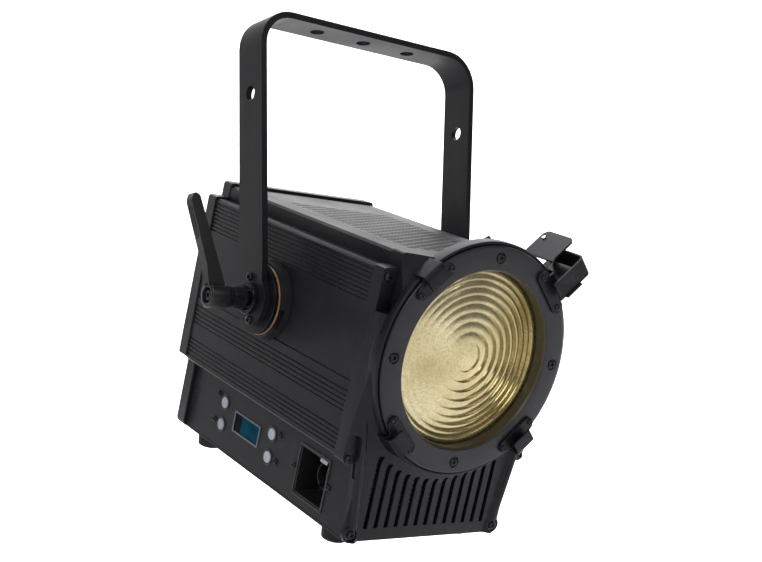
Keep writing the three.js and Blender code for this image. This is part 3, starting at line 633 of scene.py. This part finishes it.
def slotted_plate(x_range, y_range, field_x, field_y, slot, pitch, low, high, staggered=True):
    """A plate with rows of slots, as one clean grid: slot and pitch are (along x, along y)."""
    columns = int((field_x[1] - field_x[0]) // pitch[0])
    rows = int((field_y[1] - field_y[0]) // pitch[1])
    start_x = (field_x[0] + field_x[1] - columns * pitch[0]) / 2
    spans = []
    for stagger in (0, 0.5):
        spans.append([(start_x + (c + stagger) * pitch[0] + (pitch[0] - slot[0]) / 2,
                       start_x + (c + stagger) * pitch[0] + (pitch[0] + slot[0]) / 2)
                      for c in range(columns - (1 if stagger else 0))])
    xs = sorted({round(v, 4) for group in spans for span in group for v in span} | set(x_range))
    ys, holes = [y_range[0]], {}
    for r in range(rows):
        y = field_y[0] + r * pitch[1]
        holes[len(ys)] = r % 2 if staggered else 0
        ys += [y, y + slot[1]]
    ys.append(y_range[1])
    bm = bmesh.new()
    grid = [[bm.verts.new((x, y, low)) for x in xs] for y in ys]
    for j in range(len(ys) - 1):
        for i in range(len(xs) - 1):
            middle = (xs[i] + xs[i + 1]) / 2
            if j in holes and any(a < middle < b for a, b in spans[holes[j]]):
                continue
            bm.faces.new((grid[j][i], grid[j][i + 1], grid[j + 1][i + 1], grid[j + 1][i]))
    thicken(bm, high - low)
    join_flat_faces(bm)
    return bm


def make_grilles():
    top = slotted_plate((-61.7, 61.7), (SKIN_FRONT + GAP, BODY_REAR - GAP), (-56, 56),
                        (-112, 62), (9.2, 1.9), (14.0, 4.4), TOP_Z - SKIN, TOP_Z)
    stands_for("top_grille", top, POWDER, 0.2, segments=1)
    tray = slotted_plate((-BASE_HALF, BASE_HALF), (BODY_FRONT + GAP, BODY_REAR - GAP), (-34, 34),
                         (-62.5, 63.5), (68, 5), (68, 14), BOTTOM_Z, BOTTOM_Z + TRAY_THICK,
                         staggered=False)
    stands_for("bottom_tray", tray, POWDER, 0.3)
    rear = slotted_plate((-75.5, 75.5), (-141.5, 59.5), (-66, 66), (-128, 50), (17, 3.2), (22, 7.2), 0, 3)
    face = BODY_REAR + 3.6
    placed(rear, at(0, face, 0) @ FACES_FRONT)
    stands_for("rear_grille", rear, POWDER, 0.2, segments=1)
    for x, side in ((-70, "left"), (70, "right")):
        for z in (-133, -40, 52):
            screw(f"rear_screw_{side}_{abs(z)}", "M3", at(x, face, z) @ FACES_REAR)


# ---------- front casting, ring and lens ----------
def casting_outline():
    half = [(-SHOULDER_HALF - 0.5, TOP_Z + 1, 3), (-SHOULDER_HALF - 0.5, SHOULDER_Z + 1.5),
            (-93.4, SHOULDER_Z + 0.5, 3), (-93.4, LIP_Z - 1, 3), (-BASE_HALF - 0.2, LIP_Z - 3),
            (-BASE_HALF - 0.2, BOTTOM_Z - 0.5, 4)]
    return rounded(half + mirrored(half), 5)


def pillar(side):
    """A ridge that leans outwards beside the air grille: two sections joined by straight walls."""
    bm = bmesh.new()
    loops = []
    for z in (BOTTOM_Z - 0.4, -27):
        lean = 0.129 * (-92 - z)
        section = rounded([(82.9, -138.5), (82.4, -142.5, 1.0), (80.6, -146.2, 1.6), (77.4, -146.2, 1.6),
                           (71.4, -141.6, 2.4), (68.4, -141.2), (68.4, -138.5)], 4)
        loops.append([bm.verts.new((side * (x - lean), y, z)) for x, y in section])
    low, high = loops
    for i in range(len(low)):
        j = (i + 1) % len(low)
        bm.faces.new((low[i], low[j], high[j], high[i]))
    bm.faces.new(low)
    bm.faces.new(high)
    bmesh.ops.recalc_face_normals(bm, faces=bm.faces[:])
    return bm


def casting_body():
    face = prism(casting_outline(), -BODY_FRONT, 150.2)
    flare = turned(rounded([(60, -BODY_FRONT + 0.01), (127, -BODY_FRONT + 0.01), (122.5, -BODY_FRONT + 0.3),
                            (103, 143.4, 26), (COLLAR_R, 150.2), (60, 150.2)], 10), 160)
    flare = common(flare, face)
    band = prism(casting_outline(), -SKIN_FRONT, -BODY_FRONT + 1)
    band = cut(band, block(-77, 77, BODY_FRONT - 2, SKIN_FRONT + 1, LIP_Z - 3, TOP_Z - 5))
    band = cut(band, block(-100, 100, BODY_FRONT - 2, SKIN_FRONT + 1, BOTTOM_Z - 2, LIP_Z + 0.02))
    half, low = BASE_HALF + 0.2, BOTTOM_Z - 0.5
    apron = rounded([(-half, low, 4), (half, low, 4), (half, -62), (-half, -62)])
    apron = prism(apron, -BODY_FRONT - 0.01, 142.6)
    lip = -RING_FRONT - 2
    seat = -RING_BACK - GAP
    collar = turned(rounded([(60, -BODY_FRONT - 0.02), (COLLAR_R - 4, -BODY_FRONT - 0.02),
                             (COLLAR_R - 4, -COLLAR_BACK - 3), (COLLAR_R, -COLLAR_BACK, 1.5),
                             (COLLAR_R, lip, 1.1), (RING_R + 0.9, lip, 0.5), (RING_R + 0.9, seat),
                             (60, seat)], 4), 160)
    lugs = [rod(6.8, 139, 144.4, at(side * LUG_X, 0, LUG_Z) @ FACES_FRONT, 0.6, 40) for side in (-1, 1)]
    body = join(flare, band, apron, collar, pillar(-1), pillar(1), *lugs)
    behind_lens = -LENS_FRONT - LENS_THICK - GAP
    bore = [(0, 130), (LENS_R - 4, 130), (LENS_R - 4, behind_lens),
            (LENS_R + 0.6, behind_lens), (LENS_R + 0.6, 165), (0, 165)]
    return cut(body, turned(bore, 160, closed=False))


def casting_pockets():
    """The air slots under the ring, and the flat seats of the lug screws."""
    tools = []
    for i in range(AIR_SLOTS):
        x = (i - (AIR_SLOTS - 1) / 2) * AIR_PITCH
        top = -math.sqrt(AIR_ARC_R ** 2 - x * x)
        tools.append(block(x - 2, x + 2, -150, BODY_FRONT + 2, BOTTOM_Z + 9.5, top))
    for side in (-1, 1):
        for seat in ([(80.5, 30), (99, 30), (99, 70), (80.5, 70, 3), (80.5, 56, 1)],
                     [(80.5, -100), (99, -100), (99, -66), (84, -66, 2)]):
            outline = rounded([(side * p[0], *p[1:]) for p in seat], 4)
            tools.append(prism(outline, -SEAT_Y, 152))
        tools.append(rod(5.2, -LUG_SEAT_Y, 150, at(side * LUG_X, 0, LUG_Z) @ FACES_FRONT, segments=32))
    return tools


def make_casting():
    body = cut(casting_body(), *casting_pockets())
    stands_for("front_casting", body, CAST, 0.5, segments=2)
    screen = slotted_plate((-70, 70), (-145, -85), (-68, 68), (-143, -88), (3, 0.9), (4.2, 2.0), 0, 0.8)
    place = HEAD @ at(0, BODY_FRONT + 9, 0) @ FACES_FRONT
    piece("dust_screen", screen, place, INSIDE, "head", "black_steel")
    for side, label in ((-1, "left"), (1, "right")):
        for row, (x, y, z) in CASTING_SCREWS.items():
            screw(f"casting_screw_{label}_{row}", "M4_washer", at(side * x, y, z) @ FACES_FRONT)


def make_ring():
    front, back = -RING_FRONT, -RING_BACK
    seat = -LENS_FRONT + GAP
    profile = rounded([(RING_BORE_R, seat), (75.2, seat), (75.2, back), (RING_R - 1, back),
                       (RING_R - 1, back + 0.7), (RING_R, back + 0.7, 0.2), (RING_R, front, 1.3),
                       (RING_BORE_R + 1.6, front, 0.8), (RING_BORE_R, front - 2.2, 0.8)], 4)
    ring = turned(profile, 200)
    pockets = []
    for degrees in (0, 90, 180, 270):
        turn = round_the_light(degrees)
        where = turn @ at(0, 0, RING_SCREW_R) @ FACES_FRONT
        pockets.append(rod(4.7, front - 1.2, front + 2, where, segments=40))
        screw(f"ring_screw_{degrees}", "M4", turn @ at(0, RING_FRONT + 1.2, RING_SCREW_R) @ FACES_FRONT)
    ring = cut(ring, *pockets)
    # Faces of the bore take the second material: the painted reflection of the lens.
    for face in ring.faces:
        middle = face.calc_center_median()
        radius = math.hypot(middle.x, middle.z)
        if radius < RING_BORE_R + 0.9:
            face.material_index = 1
    stands_for("lens_ring", ring, [RING, BORE_LENS_REFLECTION], smooth=40)
    gasket = rounded([(75.6, back - GAP), (78.2, back - GAP, 0.4), (78.2, seat, 0.4), (75.6, seat)], 3)
    stands_for("lens_gasket", turned(gasket, 120), RUBBER)


def lens_edges():
    """The radius of each step: a wide centre disc, then rings that get narrower."""
    edges = [11.5]
    width = 8.6
    while edges[-1] + width < LENS_R - 2:
        edges.append(edges[-1] + width)
        width *= 0.935
    return edges


def make_lens():
    """A stepped face: each ring is a curved slope that climbs inwards and drops in a rounded riser."""
    base = -LENS_FRONT - 0.4
    edges = [0.0, *lens_edges()]
    back = -LENS_FRONT - LENS_THICK
    profile = [(0, back), (LENS_R, back), (LENS_R, base - 0.2)]
    for inner, outer in reversed(list(zip(edges, edges[1:]))):
        rise = 1.7 if inner else 1.2
        profile.append((outer + 0.7, base - rise))
        for k in range(7):
            t = k / 6
            radius = outer + (inner + 0.9 - outer) * t if inner else outer * (1 - t)
            profile.append((radius, base - rise * (1 - t) ** 1.6 * 0.95))
    profile[-1] = (0, base)
    lens = turned(profile, 180, closed=False)
    stands_for("fresnel_lens", lens, LENS, smooth=24)


# ---------- accessory clips and latch ----------
def clip_screws(name, degrees):
    front = RING_FRONT - GAP - CLIP_SHEET
    for side, label in ((-1, "a"), (1, "b")):
        where = round_the_light(degrees) @ at(side * 16, front, SCREW_CIRCLE_R) @ FACES_FRONT
        screw(f"{name}_screw_{label}", "M3", where)


def clip_body():
    """One bent sheet: ears screwed to the ring, and a hook whose lip turns inwards."""
    front, rear, t, outer, lip_end = -ACCESSORY_FRONT, 150.5, CLIP_SHEET, CLIP_OUTER, 83.5
    half_width = 9.2
    hook = rounded([(rear, outer - t), (rear, outer), (front, outer, 4.2), (front, lip_end),
                    (front - t, lip_end), (front - t, outer - t, 2.4)], 8)
    sheet = prism([(-y, z) for y, z in hook], -half_width, half_width, FACES_RIGHT)
    face = -RING_FRONT + GAP
    half = [(-half_width, CLIP_OUTER - 1), (-half_width, 91, 2.5),
            (-16, 89.5, 5.4), (-21.5, 84, 5.4), (-16, 78.6, 5.4)]
    ears = prism(rounded(half + mirrored(half), 5), face, face + t)
    return join(sheet, ears)


def make_clips():
    for name, degrees in (("top_left", 135), ("bottom_left", 225), ("bottom_right", 315)):
        place = HEAD @ round_the_light(degrees)
        stands_for(f"accessory_clip_{name}", clip_body(), SHEET, 0.35, place=place)
        clip_screws(f"clip_{name}", degrees)
    refine("latch_bracket", SHEET, 0.3, harden=False)
    refine("latch_flap", SHEET, 0.35)
    refine("latch_pin", STEEL, 0.3)
    clip_screws("latch", 45)


# ---------- controls, inlet and feet ----------
def make_controls():
    for name, (y, z) in BUTTONS.items():
        dome = [(0, 0), (6.1, 0), (6.1, 1.3), (4.9, 1.3), (4.9, 3.2)]
        dome += [(4.9 - 0.9 * (1 - math.cos(a)), 3.2 + 0.7 * math.sin(a)) for a in
                 [math.radians(15 * k) for k in range(1, 7)]]
        dome += [(2.4, 3.75), (0, 3.45)]
        where = at(-BASE_HALF + 2.7, y, z) @ FACES_LEFT
        stands_for(f"button_{name}", turned(dome, 56, where, closed=False), SILVER, smooth=28)
        rim = turned(rounded([(5.35, -0.2), (6.9, -0.2), (6.9, 0.55, 0.3), (5.35, 0.55, 0.25)], 3), 56,
                     at(-BASE_HALF, y, z) @ FACES_LEFT)
        piece(f"button_rim_{name}", rim, HEAD, PLASTIC, "head", "black_plastic")
    for i, (y, z) in enumerate(PANEL_SCREWS):
        screw(f"panel_screw_{i + 1}", "M3", at(-BASE_HALF, y, z) @ FACES_LEFT)
    w, h = DISPLAY_W / 2, DISPLAY_H / 2
    place = at(-BASE_HALF, DISPLAY_Y, DISPLAY_Z) @ FACES_LEFT
    opening = rounded_box(w - 0.4, h - 0.4, 0.6, 4)
    bezel = prism(rounded_box(w + 1.2, h + 1.2, 1, 4), 0.05, 0.6, place, [opening])
    piece("display_bezel", bezel, HEAD, BEZEL, "head", "button_cap", bevel=0.15)
    refine("display_window", DISPLAY, 0.15)


def make_inlet():
    refine("inlet_pocket", PLASTIC, 0.4)
    face = BASE_HALF - INLET_DEPTH + POCKET_WALL + GAP
    where = at(0, INLET_Y, INLET_Z) @ FACES_LEFT
    shell = rounded([(0, face - 14), (10, face - 14), (10, face), (11.8, face, 0.5), (11.8, face + 11, 0.8),
                     (9.6, face + 11, 0.6), (9.6, face - 2), (0, face - 2)], 3)
    keyways = [placed(block(-1.2, 1.2, 8.8, 10.6, face + 4, face + 14),
                      where @ Matrix.Rotation(math.radians(a), 4, "Z")) for a in (35, 155, 275)]
    socket = cut(turned(shell, 72, where, closed=False), *keyways)
    stands_for("mains_inlet", socket, PLASTIC, smooth=35)
    core = rounded([(0, face - 2), (6.4, face - 2), (6.4, face + 6.4, 1.0), (0, face + 6.4)], 4)
    core = turned(core, 48, where, closed=False)
    piece("inlet_core", core, HEAD, PLASTIC, "head", "black_plastic", smooth=35)
    refine("inlet_latch", STEEL, 0.3)
    rim = BASE_HALF - 0.05
    half = INLET_SIZE / 2
    outline = rounded_box(half + 1.4, half + 1.4, 2, 5)
    opening = rounded_box(half - 0.4, half - 0.4, 1.5, 5)
    bezel = prism(outline, rim, rim + 0.7, where, [opening])
    piece("inlet_bezel", bezel, HEAD, PLASTIC, "head", "black_plastic", bevel=0.25)


def make_feet():
    for name, (x, y) in FOOT_PLACES.items():
        place = at(x, y, BOTTOM_Z) @ FACES_DOWN
        profile = rounded([(0, GAP), (12, GAP, 0.6), (10.4, 12, 1.6),
                           (5.6, 12, 0.5), (5.6, 7.5), (0, 7.5)], 4)
        stands_for(f"foot_{name}", turned(profile, 64, place, closed=False), RUBBER, smooth=35)
        screw(f"foot_screw_{name}", "M4", at(x, y, BOTTOM_Z - 7.5) @ FACES_DOWN)


# ---------- inside ----------
def make_inside():
    looks = {"front_bulkhead": INSIDE, "rear_bulkhead": INSIDE, "guide_rod_left": STEEL,
             "guide_rod_right": STEEL, "leadscrew": STEEL, "zoom_motor": SHEET, "carriage": SHEET,
             "led_module": PHOSPHOR, "led_reflector": ALUMINIUM, "led_heatsink": ALUMINIUM,
             "fan_frame": PLASTIC, "fan_rotor": PLASTIC, "psu_module": ALUMINIUM, "control_board": PCB}
    for node, material in looks.items():
        finish_cad(node, material)


# ---------- stage, light and camera ----------
CAMERA_PLACE = (-0.6337, -0.8360, -0.3225)
CAMERA_AIM = Vector((0.6150, 0.7823, 0.0995))
CAMERA_UP = Vector((-0.0716, -0.0703, 0.9950))
FOCAL_MM = 57.12
AHEAD = Vector((CAMERA_AIM.x, CAMERA_AIM.y, 0)).normalized()
ACROSS = Vector((AHEAD.y, -AHEAD.x, 0))


def area_light(name, place, target, size, power, color=(1, 1, 1)):
    light = bpy.data.lights.new(name, "AREA")
    light.shape = "RECTANGLE"
    light.size, light.size_y = size
    light.energy = power
    light.color = color
    obj = add_object(name, light)
    obj.location = place
    obj.rotation_euler = (Vector(target) - Vector(place)).to_track_quat("-Z", "Y").to_euler()


def make_stage():
    body = bmesh.new()
    depth, floor_z, bend, top = 6.0, CAD_BOX[0].z - 0.12, 1.6, 5.0
    profile = [(-4.0, floor_z), (depth - bend, floor_z)]
    profile += [(depth - bend + bend * math.sin(a), floor_z + bend * (1 - math.cos(a)))
                for a in [math.radians(9 * k) for k in range(1, 11)]]
    profile.append((depth, top))
    rows = [[body.verts.new(AHEAD * d + ACROSS * w + Vector((0, 0, z))) for w in (-9, 9)]
            for d, z in profile]
    for a, b in zip(rows, rows[1:]):
        body.faces.new((a[0], a[1], b[1], b[0]))
    mesh = mesh_of("floor", body)
    for face in mesh.polygons:
        face.use_smooth = True
    floor = add_object("floor", mesh)
    paint = Nodes("pale_floor")
    patches = paint.stretch(paint.noise(1.5), 0.3, 0.7)
    paint.link(paint.mix(patches, (0.86, 0.86, 0.86), (0.90, 0.90, 0.90)), "Base Color")
    paint.shader.inputs["Roughness"].default_value = 0.9
    mesh.materials.append(paint.material)


def make_light():
    bpy.context.scene.view_settings.view_transform = "Standard"
    world = bpy.data.worlds.new("studio")
    bpy.context.scene.world = world
    world.use_nodes = True
    world.node_tree.nodes["Background"].inputs["Color"].default_value = (1, 1, 1, 1)
    world.node_tree.nodes["Background"].inputs["Strength"].default_value = 0.12
    middle = (0, -0.05, -0.22)
    area_light("key_left", (-1.7, -1.1, 0.9), middle, (1.2, 1.2), 26)
    area_light("front_soft", (0.3, -2.2, 0.7), middle, (1.2, 1.2), 7)
    area_light("top_soft", (-0.3, 0.2, 1.9), middle, (1.6, 1.6), 12)
    area_light("rim_right", (1.7, 0.3, 0.3), middle, (0.6, 1.6), 8)
    for sign, label in ((-1, "left"), (1, "right")):
        place = AHEAD * 2.2 + ACROSS * sign * 2.6 + Vector((0, 0, 1.2))
        area_light(f"backdrop_{label}", place, AHEAD * 5.2 + Vector((0, 0, 0.2)), (2.4, 2.4), 240)
    area_light("floor_wash", AHEAD * 2.4 + Vector((0, 0, 2.6)), AHEAD * 2.6, (3.0, 3.0), 150)


def make_camera():
    data = bpy.data.cameras.new("camera")
    data.sensor_width = 36
    data.lens = FOCAL_MM
    camera = add_object("camera", data)
    back = -CAMERA_AIM.normalized()
    right = CAMERA_UP.cross(back).normalized()
    up = back.cross(right)
    camera.matrix_world = Matrix.Translation(CAMERA_PLACE) @ Matrix((right, up, back)).transposed().to_4x4()
    bpy.context.scene.camera = camera


make_yoke()
make_levers()
make_casing()
make_grilles()
make_casting()
make_ring()
make_lens()
make_clips()
make_controls()
make_inlet()
make_feet()
make_inside()
make_stage()
make_light()
make_camera()
